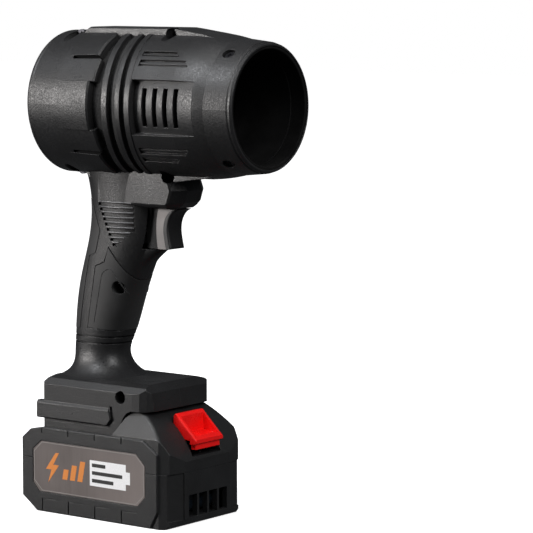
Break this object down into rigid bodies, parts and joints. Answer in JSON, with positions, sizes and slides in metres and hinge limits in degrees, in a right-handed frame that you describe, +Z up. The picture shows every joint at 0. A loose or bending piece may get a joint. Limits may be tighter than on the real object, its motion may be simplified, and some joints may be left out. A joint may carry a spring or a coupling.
{
  "type": "leaf blower",
  "caption": "Pistol-grip cordless leaf blower: turbine barrel with open nozzle and guarded intake on an upright grip, standing on a slide-on battery pack with red latch.",
  "frame": {"origin": "middle of the battery pack's flat base, which the blower stands on", "axes": "+X the way the air leaves the nozzle, +Z up, -Y the operator's right; the left and right halves mirror about Y = 0"},
  "size_m": [0.1644, 0.0912, 0.2973],
  "materials": {
    "shell_plastic": "fine spark-eroded charcoal plastic",
    "grip_rubber": "soft black overmould",
    "duct_plastic": "black moulded plastic",
    "fan_plastic": "dark glass-filled nylon",
    "motor_steel": "laminated steel",
    "copper_wire": "enamelled copper",
    "cast_alloy": "satin alloy",
    "bearing_steel": "ground steel",
    "magnet": "nickel-plated magnet",
    "screw_steel": "zinc-plated steel",
    "spring_steel": "spring wire",
    "trigger_black": "black plastic, slightly glossy",
    "trigger_grey": "warm light grey plastic",
    "switch_plastic": "black switch housing",
    "circuit_board": "green circuit board",
    "capacitor_sleeve": "sleeved aluminium can",
    "terminal_brass": "plated brass",
    "lead_insulation": "silicone insulation",
    "pack_plastic": "charcoal plastic, slightly smoother than the housing",
    "label_plate": "taupe-grey printed plate",
    "cell_sleeve": "steel cells in a dark plastic sleeve",
    "holder_plastic": "black cell frame",
    "button_red": "bright red moulded plastic"
  },
  "bodies": {
    "housing": {"shell_right": "shell_plastic", "shell_left": "shell_plastic", "rear_grip_pad": "grip_rubber", "palm_panel_right": "grip_rubber", "palm_panel_left": "grip_rubber", "intake_guard": "duct_plastic", "inlet_bellmouth": "duct_plastic", "duct_tube": "duct_plastic", "motor_pod": "duct_plastic", "stator_vanes": "duct_plastic", "nozzle_liner": "duct_plastic", "tail_cone": "duct_plastic", "motor_stack": "motor_steel", "motor_windings": "copper_wire", "motor_end_cap": "cast_alloy", "rear_bearing": "bearing_steel", "front_bearing": "bearing_steel", "switch_body": "switch_plastic", "control_board": "circuit_board", "board_capacitors": "capacitor_sleeve", "heat_sink": "cast_alloy", "terminal_block": "duct_plastic", "terminal_blades": "terminal_brass", "switch_leads": "lead_insulation", "motor_leads": "lead_insulation", "shell_screws": "screw_steel", "nozzle_screws": "screw_steel"},
    "fan": {"impeller": "fan_plastic", "motor_shaft": "bearing_steel", "rotor_magnet": "magnet", "impeller_nut": "screw_steel"},
    "trigger": {"trigger_cap": "trigger_black", "trigger_band": "trigger_grey", "trigger_carrier": "trigger_black", "switch_plunger": "duct_plastic", "trigger_spring": "spring_steel"},
    "battery": {"pack_upper_case": "pack_plastic", "pack_lower_case": "pack_plastic", "pack_label_right": "label_plate", "pack_label_left": "label_plate", "cells": "cell_sleeve", "cell_holder_right": "holder_plastic", "cell_holder_left": "holder_plastic", "cell_straps": "terminal_brass", "pack_board": "circuit_board", "pack_terminals": "terminal_brass", "pack_screws": "screw_steel"},
    "latch": {"release_button": "button_red", "latch_spring": "spring_steel"}
  },
  "joints": [
    {"name": "fan_spin", "type": "hinge", "parent": "housing", "child": "fan", "pos_m": [0, 0, 0.2513], "axis": [1, 0, 0], "continuous": true},
    {"name": "trigger_pull", "type": "slide", "parent": "housing", "child": "trigger", "axis": [-1, 0, 0], "range_m": [0, 0.0065], "stiffness_N_per_m": 400, "springref_m": -0.01, "deforming": ["trigger_spring"]},
    {"name": "battery_slide", "type": "slide", "parent": "housing", "child": "battery", "axis": [1, 0, 0], "range_m": [0, 0.085]},
    {"name": "latch_press", "type": "slide", "parent": "battery", "child": "latch", "axis": [0, 0, -1], "range_m": [0, 0.0035], "stiffness_N_per_m": 800, "springref_m": -0.005, "deforming": ["latch_spring"]}
  ]
}
